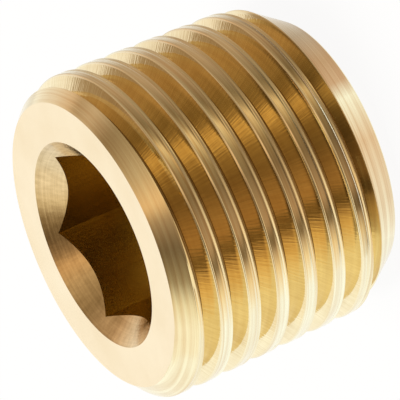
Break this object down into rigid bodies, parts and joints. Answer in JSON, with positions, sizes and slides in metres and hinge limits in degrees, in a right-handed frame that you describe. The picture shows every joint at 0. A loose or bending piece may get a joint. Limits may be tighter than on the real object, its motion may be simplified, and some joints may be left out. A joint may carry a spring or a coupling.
{
  "type": "pipe plug",
  "caption": "Brass pipe plug with a tapered right-hand outside thread, a chamfered lead-in at its inner end and a countersunk hexagon socket for a key in its wide end.",
  "frame": {"origin": "centre of the flat inner end, which the plug stands on", "axes": "+Z along the plug's axis, out of the hexagon socket; +X square to a flat of the socket"},
  "size_m": [0.0101, 0.0101, 0.008],
  "materials": {
    "brass": "bright turned brass"
  },
  "bodies": {
    "root": {"plug_body": "brass"}
  },
  "joints": []
}
